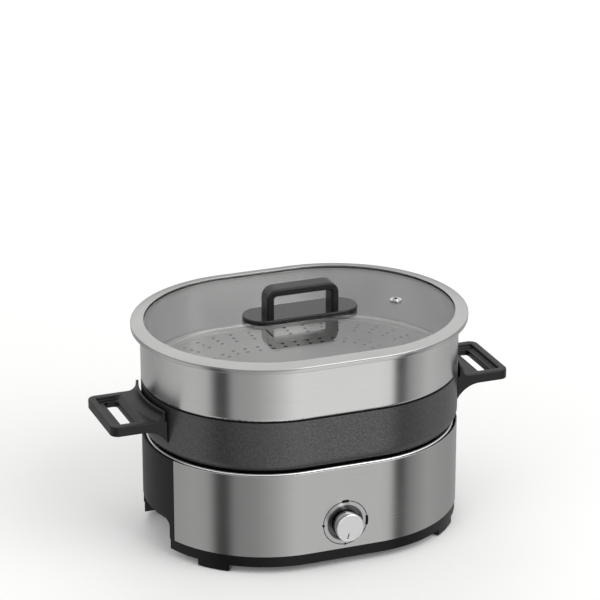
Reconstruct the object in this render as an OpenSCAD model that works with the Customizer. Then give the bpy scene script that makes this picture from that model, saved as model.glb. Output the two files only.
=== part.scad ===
// Electric fondue and hot pot set: a heating base, a cast pot with a divider, a steamer and a glass lid.
// Millimetres, +Z up, front towards -Y. The origin is on the table under the middle of the plan.

/* [Plan] */
// Length of the stacked tiers, end to end
plan_l = 344; // [320:1:380]
// Width of the stacked tiers, front to back
plan_w = 264; // [250:1:290]

/* [Heating base] */
// Height of the base's rim above the table
base_h = 112; // [106:1:130]
// Height of the feet, with their pads
foot_h = 8; // [6:0.5:12]
// Thickness of the rubber pads under the feet
pad_t = 1.5; // [1:0.25:2.5]
// Angle along the end arc that one foot takes
foot_arc = 16; // [10:1:22]
// Angle from the long axis to the middle of each foot
foot_angle = 45; // [42:1:52]
// Depth of a foot, in from the skirt
foot_depth = 14; // [8:0.5:18]
// Height of the black plinth under the panels
plinth_h = 12; // [10:0.5:16]
// How far the plinth stands in from the panels
plinth_set = 0.8; // [0.4:0.1:1.2]
// Wall of the plinth
plinth_t = 3; // [2.5:0.25:4]
// Floor of the plinth
plinth_floor = 2.5; // [2:0.25:4]
// Height of the rib that stands inside the panels
rib_h = 8; // [5:0.5:12]
// Thickness of the steel panels with their hem
steel_t = 1.6; // [1:0.1:2]
// Thickness of the plastic end panels
end_t = 2.5; // [2:0.1:3.5]
// Angle from the long axis to the front seam of an end panel
seam_front = 23; // [20:0.5:28]
// Angle from the long axis to the rear seam of an end panel
seam_rear = 30; // [26:0.5:34]
// Angle left open at each seam
seam_gap = 0.2; // [0.1:0.05:0.4]
// Top of the grip notch in each end, above the table
notch_top = 41; // [30:1:44]
// How deep the grip notch reaches in from the end
notch_depth = 48; // [40:1:56]
// Width of the end panel's leg beside its front seam
notch_leg = 7; // [5:0.5:9]
// Width of the end panel's leg beside its rear seam
notch_rear = 15; // [5:0.5:18]
// Radius of the notch's upper corners
notch_r = 8; // [4:0.5:10]

/* [Bowl and hotplate] */
// How far the bowl's wall stands in from the panels
bowl_set = 5; // [4:0.25:6]
// Sheet thickness of the bowl
bowl_t = 1; // [0.8:0.1:1.4]
// Radius of the bowl's rolled rim
bead_r = 1.8; // [1.4:0.1:2]
// Radius between the bowl's wall and floor
bowl_r = 14; // [8:0.5:18]
// Depth from the base's rim to the hotplate's face
plate_drop = 36; // [34:0.5:39]
// Height of the hotplate's face above the bowl's floor
plate_rise = 6; // [4:0.5:8]
// Diameter of the hotplate
plate_d = 180; // [160:1:190]
// Diameter of the hotplate's body under the bowl's floor
plate_body_d = 160; // [130:1:164]
// Depth of the hotplate's body under the bowl's floor
plate_body_h = 10; // [6:0.5:12]
// Bevel on the hotplate's edge
plate_bevel = 1.5; // [0.5:0.25:2.5]
// Diameter of the recess in the middle of the hotplate
recess_d = 21; // [15:0.5:30]
// Depth of that recess
recess_deep = 0.6; // [0.3:0.1:1]
// Distance of the bowl's screws from the middle, along the length
post_x = 100; // [96:1:106]
// Distance of the bowl's screws from the middle, across the width
post_y = 65; // [60:1:70]
// Diameter of the posts under those screws
post_d = 10; // [8:0.5:14]
// Height of the pressed ridges in the bowl's floor
ridge_h = 1.4; // [0.8:0.1:2]
// Width of those ridges
ridge_w = 3.2; // [2.4:0.2:5]
// Length of a ridge's leg along the bowl
ridge_long = 54.5; // [40:0.5:60]
// Length of a ridge's leg towards the end
ridge_short = 16; // [10:0.5:20]
// How far a ridge's bend lies in from its screw
ridge_in = 11; // [8:0.5:13]
// Diameter of the heating tube
tube_d = 8; // [6:0.25:9]
// Radius of the heating ring
ring_r = 62; // [50:1:66]
// Gap angle between the two ends of the heating ring
ring_gap = 40; // [30:1:60]
// Length of the heating ring's cold ends
cold_end = 18; // [12:1:20]

/* [Control] */
// Height of the knob's axis above the table
knob_z = 49; // [46:0.5:52]
// Diameter of the knob
knob_d = 31; // [26:0.5:33]
// How far the knob stands out from the panel
knob_proud = 15; // [11:0.5:18]
// Diameter of the knob's satin face
face_d = 27; // [22:0.5:28]
// Thickness of that face
face_t = 1.2; // [0.8:0.1:2]
// Angle of the knob's pointer from straight down, with the heat off
pointer_turn = 16; // [0:1:40]
// Diameter of the dish round the knob
dish_d = 40; // [37:0.5:44]
// Depth of the dish
dish_deep = 3; // [2:0.25:4]
// Wall of the dish
dish_t = 1.5; // [1:0.25:2]
// Diameter of the thermostat's spindle
shaft_d = 6; // [5:0.25:7]
// Diameter of the thermostat's threaded bush
bush_d = 10; // [9:0.25:12]
// Width and height of the thermostat's case
stat_w = 32; // [26:1:38]
// Depth of the thermostat's case
stat_deep = 24; // [18:1:30]
// Depth of the case behind the end of the spindle
stat_back = 6; // [4:0.5:10]
// Bore of the cord gland
gland_bore = 7.5; // [6:0.25:9]
// Diameter of the gland's body
gland_d = 12; // [11:0.25:14]
// Height of the gland above the table
gland_z = 34; // [32:1:50]

/* [Pot] */
// Height of the pot's upper, straight section
pot_up_h = 57; // [50:1:66]
// Height of the pot's lower, tapered section
pot_low_h = 38; // [38:0.5:42]
// Wall of the upper section
pot_t = 3.5; // [3:0.25:4.5]
// Wall of the lower section
pot_low_t = 4; // [3:0.25:5]
// Floor of the pot
pot_floor = 5; // [4:0.25:7]
// Radius under the upper section
pot_up_r = 12; // [6:0.5:14]
// How far the lower section steps in
pot_step = 13.5; // [13:0.25:16]
// Slope of the lower section, from upright
pot_taper = 17.5; // [10:0.5:20]
// Outer radius round the pot's bottom
pot_low_r = 8; // [5:0.5:10]
// Inner radius round the pot's floor
pot_in_r = 12; // [8:0.5:14]
// Inner radius above the step
pot_ledge_r = 14; // [8:0.5:16]
// Width of the locating fin at each end
fin_w = 12; // [8:0.5:14]
// How far the fin's face stands in from the upper section
fin_set = 11; // [10.5:0.25:11.5]
// Clearance of the fin in its guide, each side
fin_gap = 1.2; // [0.8:0.1:2]

/* [Pot handles] */
// Length over both handles, tip to tip
grip_span = 450; // [440:1:464]
// Width of a handle
grip_w = 92; // [84:1:104]
// Thickness of the grip
grip_t = 11; // [10:0.5:14]
// Depth of the grip's top below the pot's rim
grip_drop = 15.5; // [14:0.5:18]
// Depth of the handle's foot below the pot's rim
grip_foot = 42; // [40:0.5:46]
// Corner radius of the grip's tip
grip_r = 9; // [6:0.5:12]
// Border between the grip's tip and its recess
grip_border = 8; // [7:0.5:9]
// Length of the recess in the grip's top, in from that border
recess_l = 28; // [27:0.5:30]
// Border at the recess's two sides
side_border = 9; // [8:0.5:11]
// Depth of the recess
grip_recess = 4; // [2:0.5:5]
// Finger slot, along the handle's reach
slot_x = 14; // [12:0.5:15]
// Finger slot, across the handle
slot_y = 64; // [50:1:66]
// Distance of the slot's middle from the tip
slot_in = 22; // [21:0.5:23]
// Radius of the hollow sweep under the grip
web_r = 30; // [24:1:34]
// How far that sweep starts outside the pot
web_out = 19; // [16:0.5:21]
// Wall left round the hollow under the handle
grip_wall = 5; // [4:0.5:6]
// Depth of the flange's top below the pot's rim
flange_drop = 4; // [3:0.5:5]
// Thickness of the flange along the pot
flange_t = 3; // [2.5:0.25:4]
// Gap between the flange and the pot
flange_gap = 2.5; // [2:0.25:3]
// Radius between the flange and the grip's top
cove_r = 8; // [6:0.5:9]

/* [Divider] */
// Thickness of the divider's plate
div_t = 3; // [2:0.25:4]
// Width of the divider's seal
seal_w = 7; // [6:0.25:10]
// Depth of the seal's lip round the plate's edge
seal_in = 6; // [4.5:0.25:8]
// Depth of the plate's edge in the seal
seal_bite = 3; // [2:0.25:3.5]
// Clearance between the seal and the pot
seal_gap = 0.3; // [0.25:0.05:0.6]
// Depth of the divider's top edge below the pot's rim
div_drop = 12; // [11:0.5:18]
// Height of the tabs at both ends of its top edge
tab_h = 5; // [3:0.25:6]
// Length of those tabs
tab_l = 40; // [20:1:60]
// How far the step up to a tab leans outwards
tab_lean = 2.5; // [0.5:0.25:4]

/* [Steamer] */
// Height of the steamer's wall above the pot's rim
steam_h = 56; // [44:1:70]
// Sheet thickness of the steamer
steam_t = 1; // [0.8:0.1:1.4]
// Depth of the spigot that drops into the pot
spigot_h = 5; // [3:0.5:6]
// Clearance between the spigot and the pot
spigot_gap = 0.8; // [0.5:0.1:1.5]
// Radius round the steamer's foot
steam_r = 4; // [2:0.25:4.25]
// Radius of the steamer's rolled rim
curl_r = 1.5; // [1.2:0.1:1.8]
// Diameter of the steam holes
hole_d = 4.5; // [3.5:0.25:5]
// Spacing of the holes in one row
hole_step = 9.5; // [8:0.25:10]
// Distance of the outer rows from the wall
outer_row = 24; // [22:0.5:26]
// Distance of the inner rows from the wall
inner_row = 70; // [68:0.5:72]
// Number of rows in the outer ring
outer_count = 40; // [30:1:44]
// Number of rows in the inner ring
inner_count = 38; // [28:1:42]

/* [Lid] */
// How far the lid's rim reaches out past the steamer
lid_over = 10; // [8:0.5:13]
// Width of the lid's steel band
band_w = 14; // [12.5:0.5:17]
// Radius of the band's rolled outer edge
lip_r = 2.4; // [1.8:0.1:2.8]
// Thickness of the glass
glass_t = 4; // [3:0.25:5]
// Depth of the band's step above the glass
glass_step = 2; // [1:0.25:3]
// How far the glass reaches under the band
glass_bite = 4.5; // [3:0.25:5]
// Thickness of the web under the glass
web_t = 1.2; // [0.8:0.1:1.6]
// Depth of the ring that drops into the steamer
plug_h = 4; // [3:0.5:5]
// Thickness of the gasket round the glass
gasket_t = 1; // [0.6:0.1:1.5]
// Length of the plate under the lid's handle
seat_l = 128; // [116:1:140]
// Width of that plate
seat_w = 44; // [36:1:50]
// Thickness of that plate
seat_t = 5; // [4:0.5:7]
// Width of the bridge handle
bridge_w = 81; // [74:1:96]
// Height of the bridge handle above its plate
bridge_h = 29; // [25:1:40]
// Depth of the bridge handle
bridge_deep = 20; // [16:0.5:24]
// Thickness of the bridge's bar and legs
bridge_t = 8; // [7:0.5:11]
// Outer corner radius of the bridge
bridge_r = 12; // [9:0.5:14]
// Radius along the bridge's edges
bridge_edge = 2; // [1:0.25:3]
// Distance of the steam vent from the middle
vent_x = 110; // [90:1:120]
// Diameter of the vent's flange
vent_d = 12.5; // [10:0.5:16]
// Bore of the vent
vent_bore = 5; // [3:0.25:6]

/* [Fits] */
// Gap between stacked tiers that lift apart
lift_gap = 0.2; // [0.1:0.05:0.4]
// Gap between a screw and its hole
screw_gap = 0.25; // [0.15:0.05:0.4]
// Running gap round the spindle
shaft_gap = 0.08; // [0.05:0.01:0.1]
// Gap between parts that slip together
slip_gap = 0.2; // [0.1:0.05:0.3]

/* [Hidden] */
$fn = 72;
half_l = plan_l / 2;
half_w = plan_w / 2;
straight = half_l - half_w;

// Heights of the base
plinth_z = foot_h;
panel_z = foot_h + plinth_h;
plate_z = base_h - plate_drop;
bowl_z = plate_z - plate_rise;
bowl_under = bowl_z - bowl_t;
bowl_in = bowl_set + bowl_t;
boss_z = bowl_z - plate_body_h;

// Heights of the tiers above it
pot_z = plate_z + lift_gap;
pot_ledge = pot_z + pot_low_h;
pot_rim = pot_ledge + pot_up_h;
steam_z = pot_rim + lift_gap;
steam_rim = steam_z + steam_h;
lid_z = steam_rim + curl_r + lift_gap;
glass_z = lid_z + web_t + gasket_t;
glass_top = glass_z + glass_t;
seat_z = glass_top;
band_in = lid_over - band_w;
glass_edge = band_in + glass_bite;
groove = glass_edge + gasket_t + slip_gap;
bridge_z = seat_z + seat_t;

// Under the bowl: the bracket, its stud and the shield
bracket_t = 1.5;
bracket_w = 24;
bracket_z = boss_z - 22;
bracket_x = plate_body_d / 2 + 6;
stud_d = 6;
stud_end = bracket_z - 8;
shield_d = plate_body_d - 8;
shield_z = bracket_z + 7;
shield_t = 0.8;

// Fasteners
screw_d = 4;
screw_head = 8;
screw_head_h = 2.4;
screw_l = 14;

// Openings in the plinth's floor
cover_x = 92;
cover_y = 88;
cover_ledge = 8;
cover_t = 1.2;
cover_r = 8;

// Knob and dial
front_y = -half_w;
dish_floor = front_y + dish_deep;
dish_back = dish_floor + dish_t;
knob_back = dish_floor - 0.6;
knob_front = front_y - knob_proud;
shaft_in = dish_back + stat_deep - stat_back;

// Lid handle
handle_screw_x = bridge_w / 2 - bridge_t / 2;
washer_d = 14;
washer_t = 1.5;

// Points along an arc, as part of an outline
function arc(x, z, r, from, to, steps) =
  [for (i = [0:steps]) let (t = from + (to - from) * i / steps) [x + r * cos(t), z + r * sin(t)]];

// Place and outward angle at a distance s along a stadium of half straight length c and end radius r
function track(s, c, r) =
  let (bend = PI * r, run = 2 * c)
  s < bend ? let (t = -90 + 180 * s / bend) [c + r * cos(t), r * sin(t), t]
  : s < bend + run ? [c - (s - bend), r, 90]
  : s < 2 * bend + run ? let (t = 90 + 180 * (s - bend - run) / bend) [-c + r * cos(t), r * sin(t), t]
  : [-c + (s - 2 * bend - run), -r, 270];
function track_length(c, r) = 4 * c + 2 * PI * r;

// Part of the right end, swept between two angles; x in the profile is the distance outside the plan line
module end_sweep(from, to, c = straight, r = half_w) {
  translate([c, 0, 0]) rotate_extrude(angle = to - from, start = from) translate([r, 0]) children();
}

// The straight run at the back
module side_sweep(c = straight, r = half_w) {
  translate([-c, 0, 0]) rotate([90, 0, 90]) linear_extrude(2 * c) translate([r, 0]) children();
}

// A profile swept all the way round the plan line
module around(c = straight, r = half_w) {
  for (s = [0, 1]) mirror([s, 0, 0]) end_sweep(-90, 90, c, r) children();
  for (s = [0, 1]) mirror([0, s, 0]) side_sweep(c, r) children();
}

// A filled plan outline, grown by a distance
module plan_slab(grow, z, h, c = straight, r = half_w) {
  translate([0, 0, z]) linear_extrude(h) {
    for (s = [-1, 1]) translate([s * c, 0]) circle(r + grow);
    square([2 * c, 2 * (r + grow)], center = true);
  }
}

// A rectangle in a profile with its lower outer corner rounded
module round_low(x0, x1, z0, z1, r) {
  translate([x0, z0 + r]) square([x1 - x0, z1 - z0 - r]);
  translate([x0, z0]) square([x1 - x0 - r, z1 - z0]);
  translate([x1 - r, z0 + r]) circle(r);
}

// An upright strip in a profile with a round top, its outer face on the plan line
module hemmed(t, z0, z1) {
  translate([-t, z0]) square([t, z1 - z0 - t / 2]);
  translate([-t / 2, z1 - t / 2]) circle(t / 2);
}

// A plate with rounded corners
module round_plate(x, y, t, r) {
  linear_extrude(t) {
    square([2 * x - 2 * r, 2 * y], center = true);
    square([2 * x, 2 * y - 2 * r], center = true);
    for (i = [-1, 1], k = [-1, 1]) translate([i * (x - r), k * (y - r)]) circle(r);
  }
}

module at_posts() {
  for (i = [-1, 1], k = [-1, 1]) translate([i * post_x, k * post_y, 0]) children();
}

module at_ends() {
  for (s = [0, 1]) mirror([s, 0, 0]) children();
}

// The grip notch at the right end, seen along the length
notch_front = half_w * sin(seam_front) - notch_leg;
notch_back = half_w * sin(seam_rear) - notch_rear;
notch_x = half_l - notch_depth;
module notch(grow) {
  wide = notch_front + notch_back + 2 * grow;
  high = notch_top + grow + 1;
  translate([notch_x - grow, -notch_front - grow, -1])
    rotate([90, 0, 90]) linear_extrude(notch_depth + grow + 1) {
      square([wide, high - notch_r]);
      translate([notch_r, 0]) square([wide - 2 * notch_r, high]);
      for (y = [notch_r, wide - notch_r]) translate([y, high - notch_r]) circle(notch_r);
    }
}

// Moulded plinth: skirt, floor, locating rib, the pockets behind the grip notches, feet and screw posts
module plinth() {
  color("#1d1d1f")
  difference() {
    union() {
      plan_slab(-plinth_set, plinth_z, plinth_floor);
      around() translate([-plinth_set - plinth_t, plinth_z]) square([plinth_t, plinth_h]);
      around() translate([-end_t - slip_gap - plinth_t, plinth_z]) square([plinth_t, plinth_h + rib_h]);
      at_ends() intersection() {
        notch(plinth_t);
        plan_slab(-end_t - slip_gap, plinth_z, notch_top + plinth_t - plinth_z);
      }
      at_ends() for (s = [0, 1]) mirror([0, s, 0])
        end_sweep(foot_angle - foot_arc / 2, foot_angle + foot_arc / 2)
          translate([-plinth_set - foot_depth, pad_t]) square([foot_depth, foot_h - pad_t + plinth_floor]);
      at_posts() translate([0, 0, plinth_z]) cylinder(d = post_d, h = bowl_under - plinth_z);
    }
    at_ends() notch(0);
    translate([0, 0, plinth_z - 1]) round_plate(cover_x, cover_y, plinth_floor + 2, cover_r);
    translate([0, 0, plinth_z - 1])
      round_plate(cover_x + cover_ledge, cover_y + cover_ledge, 1 + cover_t, cover_r);
    at_posts() translate([0, 0, bowl_under - screw_l]) cylinder(d = screw_d, h = screw_l + 1);
    at_cover_screws() translate([0, 0, plinth_z]) cylinder(d = screw_d, h = plinth_floor + 1);
    translate([0, 0, gland_z]) rotate([-90, 0, 0]) cylinder(d = gland_d + 2 * slip_gap, h = half_w);
  }
}

// Rubber pads under the four feet
module foot_pads() {
  color("#2b2b2d")
  at_ends() for (s = [0, 1]) mirror([0, s, 0])
    end_sweep(foot_angle - foot_arc / 2 + 1, foot_angle + foot_arc / 2 - 1)
      translate([-plinth_set - foot_depth + 1.5, 0]) square([foot_depth - 3, pad_t]);
}

module at_cover_screws() {
  for (i = [-1, 1], k = [-1, 1])
    translate([i * (cover_x + cover_ledge / 2), k * (cover_y - 14), 0]) children();
}

// Sheet cover under the plinth, with two rows of vent slots
module bottom_cover() {
  slot_l = 34;
  slot_w = 4;
  slot_out = 42;
  slot_r = 1.9;
  pitch = 12;
  rows = 6;
  color("#8d9093")
  difference() {
    translate([0, 0, plinth_z])
      round_plate(cover_x + cover_ledge - slip_gap, cover_y + cover_ledge - slip_gap, cover_t, cover_r);
    for (i = [-1, 1], n = [0:rows - 1])
      translate([i * slot_out, (n - (rows - 1) / 2) * pitch, plinth_z - 1])
        round_plate(slot_l / 2, slot_w / 2, cover_t + 2, slot_r);
    at_cover_screws() translate([0, 0, plinth_z - 1]) cylinder(d = screw_d + 2 * screw_gap, h = cover_t + 2);
  }
}

// Screws that hold the cover
module bottom_screws() {
  color("#b9bbbd")
  at_cover_screws() translate([0, 0, plinth_z]) mirror([0, 0, 1]) {
    cylinder(d = screw_head, h = screw_head_h / 2);
    mirror([0, 0, 1]) cylinder(d = screw_d, h = cover_t + plinth_floor);
  }
}

// Brushed steel panel round the front, with the opening for the dial
module front_panel() {
  color("#b4b5b6")
  difference() {
    union() {
      at_ends() end_sweep(-90, -seam_front - seam_gap) hemmed(steel_t, panel_z, base_h);
      mirror([0, 1, 0]) side_sweep() hemmed(steel_t, panel_z, base_h);
    }
    translate([0, front_y - 1, knob_z]) rotate([-90, 0, 0]) cylinder(d = dish_d, h = steel_t + 2);
  }
}

// Brushed steel panel round the back, with the opening for the gland
module rear_panel() {
  color("#b4b5b6")
  difference() {
    union() {
      at_ends() end_sweep(seam_rear + seam_gap, 90) hemmed(steel_t, panel_z, base_h);
      side_sweep() hemmed(steel_t, panel_z, base_h);
    }
    translate([0, half_w - steel_t - 1, gland_z]) rotate([-90, 0, 0]) cylinder(d = gland_d, h = steel_t + 2);
  }
}

// Black moulded panel over the right end, cut out below for the fingers
module right_end_panel() {
  color("#202022")
  difference() {
    end_sweep(-seam_front, seam_rear) hemmed(end_t, panel_z, base_h);
    notch(0);
  }
}

module left_end_panel() {
  mirror([1, 0, 0]) right_end_panel();
}

// A pressed ridge of two legs beside each screw in the bowl's floor, each leg as a length and a direction
module floor_ridges() {
  bend = [post_x + ridge_w, post_y - ridge_in];
  legs = [[ridge_short, 55], [ridge_long, 151.5]];
  ends = concat([bend], [for (leg = legs) bend + leg[0] * [cos(leg[1]), sin(leg[1])]]);
  foot = bowl_z - bowl_t / 2;
  high = bowl_t / 2 + ridge_h;
  for (i = [0, 1], k = [0, 1]) mirror([i, 0, 0]) mirror([0, k, 0]) translate([0, 0, foot]) {
    for (leg = legs) translate(bend) rotate(leg[1])
      translate([0, -ridge_w / 2, 0]) cube([leg[0], ridge_w, high]);
    for (e = ends) translate(e) cylinder(d = ridge_w + 0.3, h = high);
  }
}

// Bright drawn bowl with a rolled rim, open in the middle for the hotplate
module inner_bowl() {
  color("#cfd0d1")
  difference() {
    union() {
      difference() {
        around() round_low(-half_w, -bowl_set, bowl_under, base_h - bead_r, bowl_r + bowl_t);
        around() round_low(-half_w, -bowl_in, bowl_z, base_h, bowl_r);
      }
      around() translate([-bowl_set - bowl_t / 2, base_h - bead_r + 0.4]) circle(bead_r);
      floor_ridges();
    }
    translate([0, 0, bowl_under - 5]) cylinder(d = plate_body_d + 2, h = 10);
    at_posts() translate([0, 0, bowl_under - 1]) cylinder(d = screw_d + 2 * screw_gap, h = bowl_t + 4);
  }
}

// Pan-head screws through the bowl's floor into the posts
module bowl_screws() {
  color("#9a9c9e")
  at_posts() {
    translate([0, 0, bowl_z]) cylinder(d = screw_head, h = screw_head_h);
    translate([0, 0, bowl_under - screw_l + 2]) cylinder(d = screw_d, h = screw_l + bowl_t);
  }
}

// Polished guide on the bowl's end wall that takes the pot's fin between two rails
module right_pot_guide() {
  back_w = 17;
  back_t = 1;
  rail_t = 1.5;
  guide_low = bowl_z + bowl_r;
  guide_high = base_h - 6;
  wall_x = straight + sqrt(pow(half_w - bowl_in, 2) - pow(back_w, 2));
  rail_x = half_l - fin_set - 2;
  color("#d9dadb") {
    translate([wall_x - back_t, -back_w, guide_low]) cube([back_t, 2 * back_w, guide_high - guide_low]);
    for (s = [-1, 1])
      translate([rail_x, s * (fin_w / 2 + fin_gap + rail_t / 2) - rail_t / 2, guide_low])
        cube([wall_x - rail_x, rail_t, guide_high - guide_low]);
    translate([wall_x - back_t - 1, -fin_w / 2 - fin_gap, guide_low]) cube([2, fin_w + 2 * fin_gap, rail_t]);
  }
}

module left_pot_guide() {
  mirror([1, 0, 0]) right_pot_guide();
}

// Cast hotplate with a bevelled edge, a shallow recess and a lower body, turned about its middle
module hotplate() {
  r = plate_d / 2;
  color("#55534f")
  difference() {
    rotate_extrude() polygon([[0, boss_z], [plate_body_d / 2, boss_z], [plate_body_d / 2, bowl_z],
      [r, bowl_z], [r, plate_z - plate_bevel], [r - plate_bevel, plate_z], [0, plate_z]]);
    translate([0, 0, plate_z - recess_deep]) cylinder(d = recess_d, h = 2);
    translate([0, 0, boss_z - 1]) cylinder(d = stud_d, h = plate_body_h - 2);
  }
}

// Heating tube bent into an open ring under the hotplate, with a turned-down sleeve on each cold end
module heating_element() {
  z = boss_z - tube_d / 2;
  color("#6a6560") {
    translate([0, 0, z]) rotate_extrude(angle = 360 - ring_gap, start = ring_gap / 2)
      translate([ring_r, 0]) circle(d = tube_d);
    for (s = [-1, 1]) rotate(s * ring_gap / 2) translate([ring_r, 0, z - cold_end])
      cylinder(d = tube_d + 1, h = cold_end + tube_d / 2);
  }
}

// Dished shield under the heating ring, standing on the bracket by its hub
module heat_shield() {
  hub_r = 8;
  rim_h = 5;
  color("#a9abad")
  difference() {
    rotate_extrude() difference() {
      union() {
        translate([0, bracket_z + bracket_t]) square([hub_r, shield_z - bracket_z - bracket_t + shield_t]);
        translate([0, shield_z]) square([shield_d / 2, shield_t]);
        translate([shield_d / 2 - shield_t, shield_z]) square([shield_t, rim_h]);
      }
      square([stud_d / 2 + screw_gap, shield_z + 2 * shield_t]);
    }
    for (s = [-1, 1]) rotate(s * ring_gap / 2) translate([ring_r, 0, shield_z - 1])
      cylinder(d = tube_d + 5, h = shield_t + 2);
  }
}

// Bent strip that pulls the hotplate down on the bowl's floor
module hotplate_bracket() {
  foot = 12;
  x = bracket_x;
  t = bracket_t;
  color("#9fa1a3")
  difference() {
    translate([0, bracket_w / 2, 0]) rotate([90, 0, 0]) linear_extrude(bracket_w) {
      translate([-x, bracket_z]) square([2 * x, t]);
      for (s = [0, 1]) mirror([s, 0]) {
        translate([x - t, bracket_z]) square([t, bowl_under - bracket_z]);
        translate([x - t, bowl_under - t]) square([foot, t]);
      }
    }
    translate([0, 0, bracket_z - 1]) cylinder(d = stud_d + 2 * screw_gap, h = t + 2);
  }
}

// Stud and nut that clamp the bracket to the hotplate
module hotplate_nut() {
  nut_d = 11.5;
  nut_h = 5;
  stud_top = boss_z + plate_body_h - 3;
  color("#c2c3c4") {
    translate([0, 0, stud_end]) cylinder(d = stud_d, h = stud_top - stud_end);
    translate([0, 0, bracket_z - nut_h]) cylinder(d = nut_d, h = nut_h, $fn = 6);
  }
}

// Rotary thermostat behind the dial, with its bush and two tags
module thermostat() {
  tag_w = 6.3;
  tag_t = 0.8;
  tag_l = 10;
  tag_x = 8;
  color("#cfc7b4")
  difference() {
    union() {
      translate([-stat_w / 2, dish_back, knob_z - stat_w / 2]) cube([stat_w, stat_deep, stat_w]);
      translate([0, dish_floor, knob_z]) rotate([-90, 0, 0]) cylinder(d = bush_d, h = dish_t + 1);
      for (s = [-1, 1])
        translate([s * tag_x - tag_w / 2, dish_back + stat_deep - 1, knob_z - tag_t / 2])
          cube([tag_w, tag_l + 1, tag_t]);
    }
    translate([0, dish_floor - 1, knob_z]) rotate([-90, 0, 0])
      cylinder(d = shaft_d + 2 * shaft_gap, h = shaft_in - dish_floor + 1.5);
  }
}

// Safety cut-out on the underside of the hotplate
module thermal_cutout() {
  can_d = 16;
  can_h = 8;
  tag_l = 14;
  color("#b8b0a0")
  translate([-36, 0, boss_z - can_h]) {
    cylinder(d = can_d, h = can_h);
    for (s = [-1, 1]) translate([-3, s * (can_d / 2 + tag_l / 2 - 1) - tag_l / 2, 2]) cube([6, tag_l, 0.8]);
  }
}

// Two-way terminal block on the plinth's floor
module terminal_block() {
  block = [40, 16, 14];
  screw_hole = 5;
  wire_hole = 4;
  color("#e6e3da")
  translate([0, half_w - 30, plinth_z + plinth_floor]) difference() {
    translate([-block[0] / 2, -block[1] / 2, 0]) cube(block);
    for (s = [-1, 1]) translate([s * 10, 0, 0]) {
      translate([0, 0, 5]) cylinder(d = screw_hole, h = 10);
      translate([0, -10, 6]) rotate([-90, 0, 0]) cylinder(d = wire_hole, h = 20);
    }
  }
}

// Bush in the rear panel where the cord goes in
module cord_gland() {
  flange_d = gland_d + 6;
  flange_t = 2.5;
  body_l = 16;
  color("#242426")
  translate([0, half_w, gland_z]) rotate([90, 0, 0]) difference() {
    union() {
      translate([0, 0, -flange_t]) cylinder(d = flange_d, h = flange_t);
      cylinder(d = gland_d - 2 * slip_gap, h = body_l);
      translate([0, 0, steel_t + slip_gap]) cylinder(d = gland_d + 1.6 * slip_gap, h = 2);
    }
    translate([0, 0, -flange_t - 1]) cylinder(d = gland_bore, h = body_l + flange_t + 2);
  }
}

// Dark dish let into the front panel round the knob
module dial_dish() {
  r = dish_d / 2 - slip_gap;
  lip = 1.2;
  color("#3a3b3d")
  translate([0, front_y, knob_z]) rotate([-90, 0, 0]) rotate_extrude() {
    translate([bush_d / 2 + slip_gap, dish_deep]) square([r - bush_d / 2 - slip_gap, dish_t]);
    translate([r - dish_t, 0]) square([dish_t, dish_deep + dish_t]);
    translate([r - dish_t, steel_t + slip_gap])
      square([dish_t + lip, dish_deep + dish_t - steel_t - slip_gap]);
  }
}

// Thermostat's spindle, which turns with the knob
module knob_shaft() {
  color("#a5a7a9")
  translate([0, knob_front + face_t + 2, knob_z]) rotate([-90, 0, 0])
    cylinder(d = shaft_d, h = shaft_in - knob_front - face_t - 2);
}

// Turned chrome knob with a round front edge, recessed for its face and bored for the spindle
module knob_body() {
  edge = 1.2;
  r = knob_d / 2;
  long = knob_back - knob_front;
  color("#d6d7d8")
  translate([0, knob_back, knob_z]) rotate([90, 0, 0]) difference() {
    rotate_extrude() {
      square([r, long - edge]);
      square([r - edge, long]);
      translate([r - edge, long - edge]) circle(edge);
    }
    translate([0, 0, long - face_t]) cylinder(d = face_d, h = face_t + 1);
    translate([0, 0, -1]) cylinder(d = shaft_d + slip_gap, h = long - face_t - 1);
  }
}

// Satin face let into the knob, with the groove of its pointer
module knob_face() {
  groove_w = 1.2;
  groove_deep = 0.5;
  groove_l = 6;
  color("#c6c7c8")
  translate([0, knob_front + face_t, knob_z]) rotate([90, 0, 0]) difference() {
    cylinder(d = face_d - slip_gap, h = face_t);
    rotate(-pointer_turn) translate([-groove_w / 2, -face_d / 2 + 1.5, face_t - groove_deep])
      cube([groove_w, groove_l, 2]);
  }
}

// The pot's outside in profile: a straight upper section over a tapered lower one
function pot_line(z) = -pot_step - (pot_ledge - z) * tan(pot_taper);
module pot_outside() {
  top = pot_ledge + 4;
  corner = pot_z + pot_low_r;
  round_low(-half_w, 0, pot_ledge, pot_rim, pot_up_r);
  polygon(concat([[-half_w, top], [-half_w, pot_z]],
    arc(pot_line(corner) - pot_low_r / cos(pot_taper), corner, pot_low_r, -90, -pot_taper, 5),
    [[pot_line(pot_ledge), pot_ledge], [pot_line(pot_ledge), top]]));
}

// The pot's inside in profile, drawn in by a distance
module pot_inside(in) {
  floor_z = pot_z + pot_floor + in;
  ledge = pot_ledge + pot_low_t + in;
  wall = pot_low_t / cos(pot_taper) + in;
  corner = floor_z + pot_in_r;
  round_low(-half_w, -pot_t - in, ledge, pot_rim + 10, pot_ledge_r);
  polygon(concat([[-half_w, ledge + 4], [-half_w, floor_z]],
    arc(pot_line(corner) - wall - pot_in_r / cos(pot_taper), corner, pot_in_r, -90, -pot_taper, 5),
    [[pot_line(ledge) - wall, ledge], [pot_line(ledge) - wall, ledge + 4]]));
}

// Cast lug under each handle, and the screw up through it
lug_w = 26;
lug_x = 13;
lug_h = 12;
lug_top = pot_rim - grip_drop - grip_t;

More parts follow.
